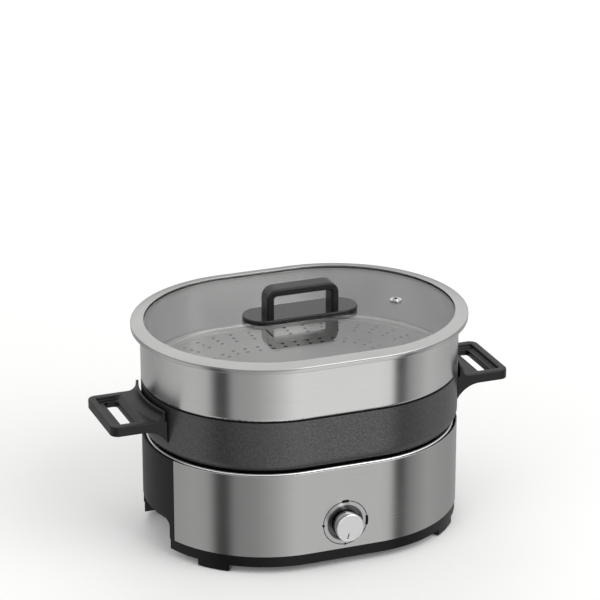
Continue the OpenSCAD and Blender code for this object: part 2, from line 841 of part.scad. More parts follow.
// Cast pot with a locating fin under each handle
module pot_body() {
  fin_foot = pot_z + 3;
  color("#3c3c3d")
  difference() {
    union() {
      around() pot_outside();
      at_ends() {
        translate([half_l - fin_set - 26, -fin_w / 2, fin_foot + 2]) cube([26, fin_w, pot_ledge - fin_foot]);
        translate([half_l - fin_set - 26, -fin_w / 2 + 2, fin_foot]) cube([24, fin_w - 4, 4]);
        translate([half_l - 2, -lug_w / 2, lug_top - lug_h]) cube([2 + lug_x, lug_w, lug_h]);
      }
    }
    around() pot_inside(0);
    at_ends() translate([half_l + lug_x / 2, 0, lug_top - lug_h - 1])
      cylinder(d = screw_d + 2 * screw_gap, h = lug_h + 2);
  }
}

// The grip's plan: a straight bar with round corners at its tip
module grip_plan() {
  tip = grip_span / 2;
  y = grip_w / 2;
  translate([half_l - 40, -y]) square([tip - half_l + 40 - grip_r, grip_w]);
  translate([half_l - 40, -y + grip_r]) square([tip - half_l + 40, grip_w - 2 * grip_r]);
  for (s = [-1, 1]) translate([tip - grip_r, s * (y - grip_r)]) circle(grip_r);
}

// Moulded handle for the right end: a grip with a recess and a finger slot, a hollow foot and a flange
// that stands off the pot
module right_handle() {
  tip = grip_span / 2;
  y = grip_w / 2;
  deck = pot_rim - grip_drop;
  under = deck - grip_t;
  foot = pot_rim - grip_foot;
  top = pot_rim - flange_drop;
  web_x = half_l + web_out;
  slot_mid = tip - slot_in;
  ramp = slot_mid - slot_x / 2;
  recess_in = tip - grip_border - recess_l;
  out = flange_gap + flange_t;
  color("#232324")
  difference() {
    union() {
      translate([0, 0, under]) linear_extrude(grip_t) grip_plan();
      translate([0, y, 0]) rotate([90, 0, 0]) linear_extrude(grip_w) difference() {
        translate([half_l - 40, foot]) square([web_out + 40, under - foot + 1]);
        translate([web_x, under - web_r]) circle(web_r);
      }
      intersection() {
        end_sweep(-30, 30) {
          translate([0, deck - 2]) square([out, top - deck + 2]);
          difference() {
            translate([0, deck - 2]) square([out + cove_r, cove_r + 2]);
            translate([out + cove_r, deck + cove_r]) circle(cove_r);
          }
        }
        translate([half_l - 40, -y, under]) cube([80, grip_w, grip_foot]);
      }
    }
    plan_slab(slip_gap, foot - 1, grip_foot + 5);
    plan_slab(flange_gap, deck - 1, grip_foot);
    translate([0, y - side_border, 0]) rotate([90, 0, 0]) linear_extrude(grip_w - 2 * side_border)
      polygon([[tip - grip_border, deck + 1], [tip - grip_border, deck - grip_recess],
        [ramp, deck - grip_recess], [recess_in, deck], [recess_in, deck + 1]]);
    translate([slot_mid, 0, under - 1]) round_plate(slot_x / 2, slot_y / 2, grip_t + 2, 4);
    difference() {
      translate([half_l - 40, -y + grip_wall, foot - 1])
        cube([web_out + 40 - grip_wall + 1, grip_w - 2 * grip_wall, under - foot + 1]);
      plan_slab(grip_wall, foot - 2, under - foot + 4);
    }
    translate([half_l - slip_gap, -lug_w / 2 - slip_gap, foot - 1])
      cube([lug_x + 2 * slip_gap, lug_w + 2 * slip_gap, under - foot + 1]);
    translate([half_l + lug_x / 2, 0, under - 1]) cylinder(d = screw_d, h = 7);
  }
}

module left_handle() {
  mirror([1, 0, 0]) right_handle();
}

// One screw up through each lug into its handle
module handle_screws() {
  color("#8f9193")
  at_ends() translate([half_l + lug_x / 2, 0, lug_top - lug_h]) {
    cylinder(d = screw_d, h = lug_h + 5);
    mirror([0, 0, 1]) cylinder(d = screw_head, h = screw_head_h);
  }
}

// The pot's inside across its middle, drawn in by a distance and cut to the shape given
div_top = pot_rim - div_drop;
module across_pot(in) {
  intersection() {
    union() {
      for (s = [0, 1]) mirror([s, 0]) translate([half_w, 0]) pot_inside(in);
      translate([-1, pot_z + pot_floor + in]) square([2, pot_rim - pot_z - pot_floor]);
    }
    children();
  }
}

// Removable wall across the pot, with a raised tab at each end of its top edge
module divider_plate() {
  tab_top = div_top + tab_h;
  tab_y = half_w - pot_t - tab_l;
  color("#1e1e20")
  translate([-div_t / 2, 0, 0]) rotate([90, 0, 90]) linear_extrude(div_t)
    across_pot(seal_gap + seal_in - seal_bite)
      polygon([[-half_w, 0], [half_w, 0], [half_w, tab_top], [tab_y, tab_top], [tab_y - tab_lean, div_top],
        [tab_lean - tab_y, div_top], [-tab_y, tab_top], [-half_w, tab_top]]);
}

// Silicone edge of the divider, round its two sides and its foot
module divider_seal() {
  color("#2e2e30")
  difference() {
    translate([-seal_w / 2, 0, 0]) rotate([90, 0, 90]) linear_extrude(seal_w) difference() {
      across_pot(seal_gap) translate([-half_w, 0]) square([plan_w, div_top]);
      across_pot(seal_gap + seal_in) translate([-half_w, 0]) square([plan_w, div_top + 1]);
    }
    divider_plate();
  }
}

// Steamer's wall: a rolled rim above, a round foot and a spigot below
module steamer_wall() {
  spigot_in = -pot_t - spigot_gap - steam_t;
  color("#bcbdbe")
  around() {
    intersection() {
      difference() {
        round_low(-half_w, 0, steam_z, steam_rim, steam_r);
        round_low(-half_w, -steam_t, steam_z + steam_t, steam_rim + 1, steam_r - steam_t);
      }
      translate([spigot_in, steam_z]) square([-spigot_in, steam_h]);
    }
    translate([-steam_t / 2, steam_rim]) circle(curl_r);
    translate([spigot_in, steam_z - spigot_h]) square([steam_t, spigot_h + steam_t]);
  }
}

// A ring of radial rows of holes, with one row left out where the slot is
module hole_rows(inset, count, holes, left_out = -1) {
  r = half_w - inset;
  span = track_length(straight, r);
  for (n = [0:count - 1]) if (n != left_out) {
    p = track(span * n / count, straight, r);
    for (h = [0:holes - 1])
      translate([p[0] - h * hole_step * cos(p[2]), p[1] - h * hole_step * sin(p[2]), steam_z - 1])
        cylinder(d = hole_d, h = 10, $fn = 24);
  }
}

// The row of the outer ring at the middle of the back, and its place
slot_r = half_w - outer_row;
slot_row = round(outer_count * (PI * slot_r + straight) / track_length(straight, slot_r));
slot_at = track(track_length(straight, slot_r) * slot_row / outer_count, straight, slot_r);

// Pressed, perforated floor of the steamer
module steamer_floor() {
  z = steam_z + steam_t;
  bead = 1.6;
  bead_in = 6;
  step_in = 14;
  raised_in = 57;
  raised = 1;
  color("#b3b4b5")
  difference() {
    union() {
      plan_slab(-steam_r - slip_gap, z, steam_t);
      intersection() {
        around() {
          translate([-bead_in, z + steam_t]) circle(bead);
          translate([-step_in, z + steam_t]) circle(bead / 2);
        }
        plan_slab(0, z, 10);
      }
      plan_slab(-raised_in, z, steam_t + raised);
    }
    hole_rows(outer_row, outer_count, 3, slot_row);
    hole_rows(inner_row, inner_count, 2);
    translate([slot_at[0], slot_at[1] - hole_step, z - 1])
      round_plate(hole_d / 4, hole_step + hole_d / 2, 4, hole_d / 4 - 0.05);
  }
}

// Steel band of the lid with a rolled lip, a groove for the glass and a ring that drops into the steamer
module lid_rim() {
  top = glass_top + glass_step;
  seat_out = groove + 1.2;
  lip_x = lid_over - lip_r;
  web_top = lid_z + web_t;
  color("#b9babb")
  around() {
    translate([lip_x, lid_z + lip_r]) circle(lip_r);
    polygon([[band_in, lid_z], [seat_out, lid_z], [seat_out, lid_z + lip_r], [lip_x, lid_z + lip_r],
      [lip_x, lid_z + 2 * lip_r], [band_in, top], [band_in, glass_top], [groove, glass_top],
      [groove, web_top], [band_in, web_top]]);
    translate([band_in, lid_z - plug_h]) square([1, plug_h + web_t]);
  }
}

// Flat glass, bored for the vent and the handle's two screws
module lid_glass() {
  color("#dfe6e4", 0.4)
  difference() {
    plan_slab(glass_edge, glass_z, glass_t);
    translate([vent_x, 0, glass_z - 1]) cylinder(d = vent_d - 4, h = glass_t + 2);
    for (s = [-1, 1]) translate([s * handle_screw_x, 0, glass_z - 1])
      cylinder(d = screw_d + 2, h = glass_t + 2);
  }
}

// Silicone ring in the band's groove, under and round the edge of the glass
module lid_gasket() {
  color("#d5d6d4")
  around() {
    translate([band_in + 0.5, lid_z + web_t]) square([groove - band_in - 0.5, gasket_t]);
    translate([groove - gasket_t, lid_z + web_t]) square([gasket_t, glass_top - lid_z - web_t]);
  }
}

// Moulded plate under the lid's handle
module lid_handle_plate() {
  c = (seat_l - seat_w) / 2;
  r = seat_w / 2;
  edge = 1.5;
  color("#2a2a2c")
  difference() {
    union() {
      plan_slab(0, seat_z, seat_t - edge, c, r);
      plan_slab(-edge, seat_z, seat_t, c, r);
      around(c, r) translate([-edge, seat_z + seat_t - edge]) circle(edge);
    }
    for (s = [-1, 1]) translate([s * handle_screw_x, 0, seat_z - 1])
      cylinder(d = screw_d + 2 * screw_gap, h = seat_t + 2);
  }
}

// The bridge's bar in section, its four edges round
module bar_section() {
  x = bridge_t / 2;
  y = bridge_deep / 2;
  e = bridge_edge;
  square([2 * x - 2 * e, 2 * y], center = true);
  square([2 * x, 2 * y - 2 * e], center = true);
  for (i = [-1, 1], k = [-1, 1]) translate([i * (x - e), k * (y - e)]) circle(e);
}

// Bridge handle: one bar bent over two corners, bored below for its screws
module lid_handle() {
  r = max(bridge_r, bridge_t + 1.5);
  bend_x = bridge_w / 2 - r;
  bend_z = bridge_h - r;
  mid = r - bridge_t / 2;
  color("#2d2d2f")
  translate([0, 0, bridge_z]) difference() {
    union() {
      at_ends() translate([bend_x, 0, 0]) {
        translate([mid, 0, 0]) linear_extrude(bend_z) bar_section();
        translate([0, 0, bend_z]) rotate([90, 0, 0]) rotate_extrude(angle = 90)
          translate([mid, 0]) bar_section();
      }
      translate([-bend_x, 0, bend_z + mid]) rotate([90, 0, 90]) linear_extrude(2 * bend_x)
        rotate(90) bar_section();
    }
    for (s = [-1, 1]) translate([s * handle_screw_x, 0, -1]) cylinder(d = screw_d, h = 13);
  }
}

// Screws up through the glass into the bridge
module lid_screws() {
  color("#a2a4a6")
  for (s = [-1, 1]) translate([s * handle_screw_x, 0, glass_z - washer_t]) {
    cylinder(d = screw_d, h = washer_t + glass_t + seat_t + 11);
    mirror([0, 0, 1]) cylinder(d = screw_head, h = screw_head_h);
  }
}

// Washers under the glass
module lid_washers() {
  color("#3a3a3c")
  for (s = [-1, 1]) translate([s * handle_screw_x, 0, glass_z - washer_t]) difference() {
    cylinder(d = washer_d, h = washer_t);
    translate([0, 0, -1]) cylinder(d = screw_d + 2 * screw_gap, h = washer_t + 2);
  }
}

// Steel eyelet of the steam vent, flanged over both faces of the glass
module vent_eyelet() {
  flange = 1;
  rise = 1;
  color("#c9cacb")
  translate([vent_x, 0, 0]) rotate_extrude() difference() {
    union() {
      translate([0, glass_z - flange]) square([vent_d / 2 - 2 - slip_gap, glass_t + 2 * flange + rise]);
      translate([0, glass_top]) square([vent_d / 2, flange]);
      translate([0, glass_z - flange]) square([vent_d / 2, flange]);
    }
    translate([0, glass_z - flange - 1]) square([vent_bore / 2, glass_t + 3 * flange + rise + 2]);
  }
}

plinth();
foot_pads();
bottom_cover();
bottom_screws();
front_panel();
rear_panel();
left_end_panel();
right_end_panel();
inner_bowl();
bowl_screws();
left_pot_guide();
right_pot_guide();
hotplate();
heating_element();
heat_shield();
hotplate_bracket();
hotplate_nut();
thermostat();
thermal_cutout();
terminal_block();
cord_gland();
dial_dish();
knob_shaft();
knob_body();
knob_face();
pot_body();
left_handle();
right_handle();
handle_screws();
divider_plate();
divider_seal();
steamer_wall();
steamer_floor();
lid_rim();
lid_glass();
lid_gasket();
lid_handle_plate();
lid_handle();
lid_screws();
lid_washers();
vent_eyelet();
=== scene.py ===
import math
import bmesh
import bpy
from mathutils import Matrix, Vector


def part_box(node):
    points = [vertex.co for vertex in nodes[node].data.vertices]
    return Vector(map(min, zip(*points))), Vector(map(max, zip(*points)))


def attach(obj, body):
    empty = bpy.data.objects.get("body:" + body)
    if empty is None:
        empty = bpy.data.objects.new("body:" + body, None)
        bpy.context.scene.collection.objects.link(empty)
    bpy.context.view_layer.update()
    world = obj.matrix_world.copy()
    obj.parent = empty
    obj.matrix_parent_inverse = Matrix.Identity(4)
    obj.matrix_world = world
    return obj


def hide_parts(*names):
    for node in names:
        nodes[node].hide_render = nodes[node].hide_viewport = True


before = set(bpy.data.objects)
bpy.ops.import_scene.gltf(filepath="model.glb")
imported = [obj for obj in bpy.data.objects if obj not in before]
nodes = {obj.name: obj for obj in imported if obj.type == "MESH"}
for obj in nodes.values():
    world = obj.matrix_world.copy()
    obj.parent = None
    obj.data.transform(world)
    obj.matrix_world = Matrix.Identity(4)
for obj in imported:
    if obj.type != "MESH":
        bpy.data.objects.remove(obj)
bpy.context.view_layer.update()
print("frame loaded:", len(nodes), "nodes")

mm = 0.001
fullTurn = 2 * math.pi


# sRGB hex to the linear colour that the shaders take
def linearColour(hexText):
    values = [int(hexText[i:i + 2], 16) / 255 for i in (1, 3, 5)]
    linear = [v / 12.92 if v <= 0.04045 else ((v + 0.055) / 1.055) ** 2.4 for v in values]
    return (*linear, 1.0)


# a grey for the surround and the table's glow, already linear
def grey(level):
    return (level, level, level, 1.0)


# one node with its settings and what is plugged into it
def addNode(tree, kind, settings=None, links=None):
    node = tree.nodes.new(kind)
    for name, value in (settings or {}).items():
        if isinstance(name, str) and hasattr(node, name):
            setattr(node, name, value)
        else:
            node.inputs[name].default_value = value
    for name, source in (links or {}).items():
        tree.links.new(source, node.inputs[name])
    return node


# a new material with an empty tree, its shader and its output
def startMaterial(name, shaderSettings):
    material = bpy.data.materials.new(name)
    material.use_nodes = True
    tree = material.node_tree
    tree.nodes.clear()
    shader = addNode(tree, "ShaderNodeBsdfPrincipled", shaderSettings)
    addNode(tree, "ShaderNodeOutputMaterial", {}, {"Surface": shader.outputs["BSDF"]})
    return material, tree, shader


# coordinates in the object's own metres, stretched by a factor along each axis
def stretched(tree, scale):
    where = addNode(tree, "ShaderNodeTexCoord")
    mapped = addNode(tree, "ShaderNodeMapping", {"Scale": scale}, {"Vector": where.outputs["Object"]})
    return mapped.outputs["Vector"]


# camera: the photograph looks down on the base from the front left through a long lens
cameraSetup = {
    "azimuth": -21.0, "elevation": 21.0, "distance": 3.0, "lens": 170.0, "sensor": 36.0, "farthest": 50.0,
    "target": (0.0, 0.0, 0.2505),
}


def placeCamera(setup):
    az = math.radians(setup["azimuth"])
    el = math.radians(setup["elevation"])
    away = Vector((math.sin(az) * math.cos(el), -math.cos(az) * math.cos(el), math.sin(el)))
    data = bpy.data.cameras.new("photoCamera")
    data.lens = setup["lens"]
    data.sensor_width = setup["sensor"]
    data.clip_end = setup["farthest"]
    camera = bpy.data.objects.new("photoCamera", data)
    bpy.context.scene.collection.objects.link(camera)
    camera.location = Vector(setup["target"]) + away * setup["distance"]
    camera.rotation_euler = (-away).to_track_quat("-Z", "Y").to_euler()
    bpy.context.scene.camera = camera


placeCamera(cameraSetup)
print("camera placed")

# studio: pale table top, pale surround with a bright wall at the front right and dark flags beside it
studio = {
    "table": "#F2F2F1", "tableSize": 8.0,
    "tableGlow": (0.08, 0.34),  # how much lighter the table looks, near and far
    "glowReach": (1.1, 3.4),  # where near ends and far starts, in metres from the object
    "ambient": 0.70,
    # what the steel walls see round the object: degrees from the front towards the right, and the level
    "round": [
        (-180, 0.45), (-150, 0.43), (-135, 0.48), (-115, 0.60), (-90, 0.68), (-74, 0.62),
        (-66, 0.05), (-56, 0.05), (-50, 0.42), (-30, 0.46), (-12, 0.66), (0, 0.86),
        (8, 1.0), (33, 1.0), (38, 0.05), (45, 0.05), (51, 0.36), (62, 0.50),
        (76, 0.68), (95, 0.58), (120, 0.48), (150, 0.43), (180, 0.45),
    ],
    "ceiling": 0.92,
    "horizon": (0.04, 0.32),  # how steeply a line of sight rises where the walls pass into the ceiling
    "lamps": [
        {"name": "keySoftbox", "at": (1.3, -1.9, 2.2), "size": 2.4, "power": 38.0, "mirrored": True},
        {"name": "fillSoftbox", "at": (-2.0, -1.1, 1.8), "size": 1.5, "power": 8.0, "mirrored": False},
        {"name": "backSoftbox", "at": (0.4, 2.2, 2.0), "size": 1.8, "power": 16.0, "mirrored": False},
    ],
    "lampAim": (0.0, 0.0, 0.15),
}


# 1 where the camera looks, straight or through the glass, and 0 for light that falls on the object
def seenDirectly(tree):
    path = addNode(tree, "ShaderNodeLightPath")
    either = addNode(tree, "ShaderNodeMath", {"operation": "MAXIMUM"},
                     {0: path.outputs["Is Camera Ray"], 1: path.outputs["Is Transmission Ray"]})
    return either.outputs[0]


def buildTable(setup):
    mesh = bpy.data.meshes.new("tableTop")
    half = setup["tableSize"] / 2
    corners = [(-half, -half, 0), (half, -half, 0), (half, half, 0), (-half, half, 0)]
    mesh.from_pydata(corners, [], [(0, 1, 2, 3)])
    table = bpy.data.objects.new("tableTop", mesh)
    bpy.context.scene.collection.objects.link(table)
    table.visible_glossy = False  # steel shows the surround, as in the photograph, not a table
    material, tree, shader = startMaterial("paleTableTop", {
        "Base Color": linearColour(setup["table"]), "Roughness": 0.9, "Specular IOR Level": 0.1,
        "Emission Color": grey(1.0)})
    # the camera sees the table a little lighter than it is lit, and more so far away, where it runs
    # out to white
    where = addNode(tree, "ShaderNodeTexCoord")
    away = addNode(tree, "ShaderNodeVectorMath", {"operation": "LENGTH"}, {0: where.outputs["Object"]})
    nearGlow, farGlow = setup["tableGlow"]
    nearEdge, farEdge = setup["glowReach"]
    fade = addNode(tree, "ShaderNodeMapRange", {
        "interpolation_type": "SMOOTHSTEP", "From Min": nearEdge, "From Max": farEdge,
        "To Min": nearGlow, "To Max": farGlow}, {"Value": away.outputs["Value"]})
    glow = addNode(tree, "ShaderNodeMath", {"operation": "MULTIPLY"},
                   {0: seenDirectly(tree), 1: fade.outputs["Result"]})
    tree.links.new(glow.outputs[0], shader.inputs["Emission Strength"])
    mesh.materials.append(material)


def buildSurround(setup):
    world = bpy.data.worlds.new("studioSurround")
    world.use_nodes = True
    bpy.context.scene.world = world
    tree = world.node_tree
    tree.nodes.clear()
    # the walls: how far a line of sight is turned from the front picks their level
    where = addNode(tree, "ShaderNodeTexCoord")
    axes = addNode(tree, "ShaderNodeSeparateXYZ", {}, {"Vector": where.outputs["Generated"]})
    front = addNode(tree, "ShaderNodeMath", {"operation": "MULTIPLY", 1: -1.0}, {0: axes.outputs["Y"]})
    angle = addNode(tree, "ShaderNodeMath", {"operation": "ARCTAN2"},
                    {0: axes.outputs["X"], 1: front.outputs[0]})
    turn = addNode(tree, "ShaderNodeMapRange", {"From Min": -math.pi, "From Max": math.pi},
                   {"Value": angle.outputs[0]})
    walls = addNode(tree, "ShaderNodeValToRGB", {}, {"Fac": turn.outputs["Result"]})
    stops = walls.color_ramp.elements
    for degrees, level in setup["round"][1:-1]:
        stops.new((degrees + 180) / 360).color = grey(level)
    stops[0].color = grey(setup["round"][0][1])
    stops[-1].color = grey(setup["round"][-1][1])
    low, high = setup["horizon"]
    rise = addNode(tree, "ShaderNodeMapRange", {"From Min": low, "From Max": high},
                   {"Value": axes.outputs["Z"]})
    room = addNode(tree, "ShaderNodeMix", {"data_type": "RGBA", 7: grey(setup["ceiling"])},
                   {0: rise.outputs["Result"], 6: walls.outputs["Color"]})
    # even light on the object, the room in what is shiny, and white where the camera looks
    path = addNode(tree, "ShaderNodeLightPath")
    soft = addNode(tree, "ShaderNodeBackground", {"Color": grey(1.0), "Strength": setup["ambient"]})
    mirrored = addNode(tree, "ShaderNodeBackground", {"Strength": 1.0}, {"Color": room.outputs[2]})
    white = addNode(tree, "ShaderNodeBackground", {"Color": grey(1.0), "Strength": 1.0})
    shiny = addNode(tree, "ShaderNodeMixShader", {},
                    {0: path.outputs["Is Glossy Ray"], 1: soft.outputs[0], 2: mirrored.outputs[0]})
    whole = addNode(tree, "ShaderNodeMixShader", {},
                    {0: seenDirectly(tree), 1: shiny.outputs[0], 2: white.outputs[0]})
    addNode(tree, "ShaderNodeOutputWorld", {}, {"Surface": whole.outputs[0]})


def hangLamps(setup):
    for lamp in setup["lamps"]:
        data = bpy.data.lights.new(lamp["name"], "AREA")
        data.size = lamp["size"]
        data.energy = lamp["power"]
        holder = bpy.data.objects.new(lamp["name"], data)
        bpy.context.scene.collection.objects.link(holder)
        holder.location = lamp["at"]
        holder.visible_glossy = lamp["mirrored"]
        holder.visible_transmission = lamp["mirrored"]  # or it shows as a bright patch in the lid's glass
        beam = Vector(setup["lampAim"]) - holder.location
        holder.rotation_euler = beam.to_track_quat("-Z", "Y").to_euler()


buildTable(studio)
buildSurround(studio)
hangLamps(studio)
bpy.context.scene.view_settings.view_transform = "Standard"
print("studio built")


noiseSpan = (0.3, 0.7)  # most of a noise pattern lies between these levels
sumSpan = (0.6, 1.4)  # and of two added up, between these


# a surface that isn't even: its tone follows one pattern and its gloss another, or the same one
def varySurface(tree, shader, setup, tonePattern, toneSpan, glossPattern, glossSpan):
    tone = addNode(tree, "ShaderNodeValToRGB", {}, {"Fac": tonePattern})
    for stop, level, hexText in zip(tone.color_ramp.elements, toneSpan, (setup["dark"], setup["light"])):
        stop.position = level
        stop.color = linearColour(hexText)
    tree.links.new(tone.outputs["Color"], shader.inputs["Base Color"])
    smooth, rough = setup["roughness"]
    gloss = addNode(tree, "ShaderNodeMapRange", {
        "From Min": glossSpan[0], "From Max": glossSpan[1], "To Min": smooth, "To Max": rough},
        {"Value": glossPattern})
    tree.links.new(gloss.outputs["Result"], shader.inputs["Roughness"])


# ground metal, most of it stainless sheet: fine lines one way, which smear reflections across them
# (real lines are about 0.1 mm apart; lineMm draws them as coarse as the render needs to show them)
def groundMetal(name, setup):
    fine = 1000 / setup["lineMm"]
    slow = 1000 / setup["lengthMm"]
    scale = {"level": (slow, slow, fine), "lengthwise": (slow, fine, slow)}[setup["lines"]]
    material, tree, shader = startMaterial(name, {
        "Metallic": 1.0, "Anisotropic": setup["anisotropy"],
        "Anisotropic Rotation": 0.25})  # a quarter of a turn, across the lines
    tangent = addNode(tree, "ShaderNodeTangent", {"direction_type": "RADIAL", "axis": "Z"})
    tree.links.new(tangent.outputs["Tangent"], shader.inputs["Tangent"])
    lines = addNode(tree, "ShaderNodeTexNoise", {"Scale": 1.0, "Detail": 3.0, "Roughness": 0.55},
                    {"Vector": stretched(tree, scale)})
    cloud = addNode(tree, "ShaderNodeTexNoise", {"Scale": 1000 / setup["cloudMm"], "Detail": 2.0},
                    {"Vector": stretched(tree, (1, 1, 1))})
    both = addNode(tree, "ShaderNodeMath", {"operation": "ADD"},
                   {0: lines.outputs["Fac"], 1: cloud.outputs["Fac"]})
    varySurface(tree, shader, setup, lines.outputs["Fac"], noiseSpan, both.outputs[0], sumSpan)
    bump = addNode(tree, "ShaderNodeBump", {"Strength": setup["relief"], "Distance": setup["depthMm"] * mm},
                   {"Height": lines.outputs["Fac"]})
    tree.links.new(bump.outputs["Normal"], shader.inputs["Normal"])
    return material


# drawn, plated or polished metal: bright, with faint wiping marks in its gloss
def polishedMetal(name, setup):
    material, tree, shader = startMaterial(name, {"Metallic": 1.0})
    marks = addNode(tree, "ShaderNodeTexNoise", {
        "Scale": 1000 / setup["markMm"], "Detail": 4.0, "Roughness": 0.6},
        {"Vector": stretched(tree, (1, 1, 1))})
    varySurface(tree, shader, setup, marks.outputs["Fac"], noiseSpan, marks.outputs["Fac"], noiseSpan)
    return material


# moulded plastic or rubber: a spark-eroded grain breaks up its gloss, and handling varies it
def moulded(name, setup):
    material, tree, shader = startMaterial(name, {
        "IOR": setup["ior"], "Specular IOR Level": setup["specular"]})
    grain = addNode(tree, "ShaderNodeTexNoise", {
        "Scale": 1000 / setup["grainMm"], "Detail": 3.0, "Roughness": 0.6},
        {"Vector": stretched(tree, (1, 1, 1))})
    cloud = addNode(tree, "ShaderNodeTexNoise", {"Scale": 1000 / setup["cloudMm"], "Detail": 2.0},
                    {"Vector": stretched(tree, (1, 1, 1))})
    both = addNode(tree, "ShaderNodeMath", {"operation": "ADD"},
                   {0: grain.outputs["Fac"], 1: cloud.outputs["Fac"]})
    varySurface(tree, shader, setup, cloud.outputs["Fac"], noiseSpan, both.outputs[0], sumSpan)
    bump = addNode(tree, "ShaderNodeBump", {"Strength": setup["relief"], "Distance": setup["depthMm"] * mm},
                   {"Height": grain.outputs["Fac"]})
    tree.links.new(bump.outputs["Normal"], shader.inputs["Normal"])
    return material


# sprayed non-stick coating on cast aluminium: charcoal with fine metal flecks and a faint orange peel
# (real flecks are about 0.2 mm; fleckMm draws them as coarse as the render needs to show them)
def sprayedCoating(name, setup):
    material, tree, shader = startMaterial(name, {"IOR": setup["ior"], "Metallic": setup["metallic"]})
    flecks = addNode(tree, "ShaderNodeTexNoise", {
        "Scale": 1000 / setup["fleckMm"], "Detail": 3.0, "Roughness": 0.7},
        {"Vector": stretched(tree, (1, 1, 1))})
    varySurface(tree, shader, setup, flecks.outputs["Fac"], setup["fleckSpan"], flecks.outputs["Fac"],
                noiseSpan)
    bump = addNode(tree, "ShaderNodeBump", {"Strength": setup["relief"], "Distance": setup["depthMm"] * mm},
                   {"Height": flecks.outputs["Fac"]})
    tree.links.new(bump.outputs["Normal"], shader.inputs["Normal"])
    return material


# toughened soda-lime glass, floated flat and faintly grey, with a wiped film; it lets light through
# to what is below
def toughenedGlass(name, setup):
    tint = linearColour(setup["tint"])
    material, tree, shader = startMaterial(name, {
        "Base Color": tint, "IOR": setup["ior"], "Transmission Weight": 1.0})
    film = addNode(tree, "ShaderNodeTexNoise", {"Scale": 1000 / setup["wipeMm"], "Detail": 3.0},
                   {"Vector": stretched(tree, setup["wipeStretch"])})
    smooth, rough = setup["roughness"]
    gloss = addNode(tree, "ShaderNodeMapRange", {
        "From Min": noiseSpan[0], "From Max": noiseSpan[1], "To Min": smooth, "To Max": rough},
        {"Value": film.outputs["Fac"]})
    tree.links.new(gloss.outputs["Result"], shader.inputs["Roughness"])
    clear = addNode(tree, "ShaderNodeBsdfTransparent", {"Color": tint})
    path = addNode(tree, "ShaderNodeLightPath")
    mix = addNode(tree, "ShaderNodeMixShader", {},
                  {0: path.outputs["Is Shadow Ray"], 1: shader.outputs["BSDF"], 2: clear.outputs["BSDF"]})
    tree.links.new(mix.outputs[0], tree.nodes["Material Output"].inputs["Surface"])
    return material


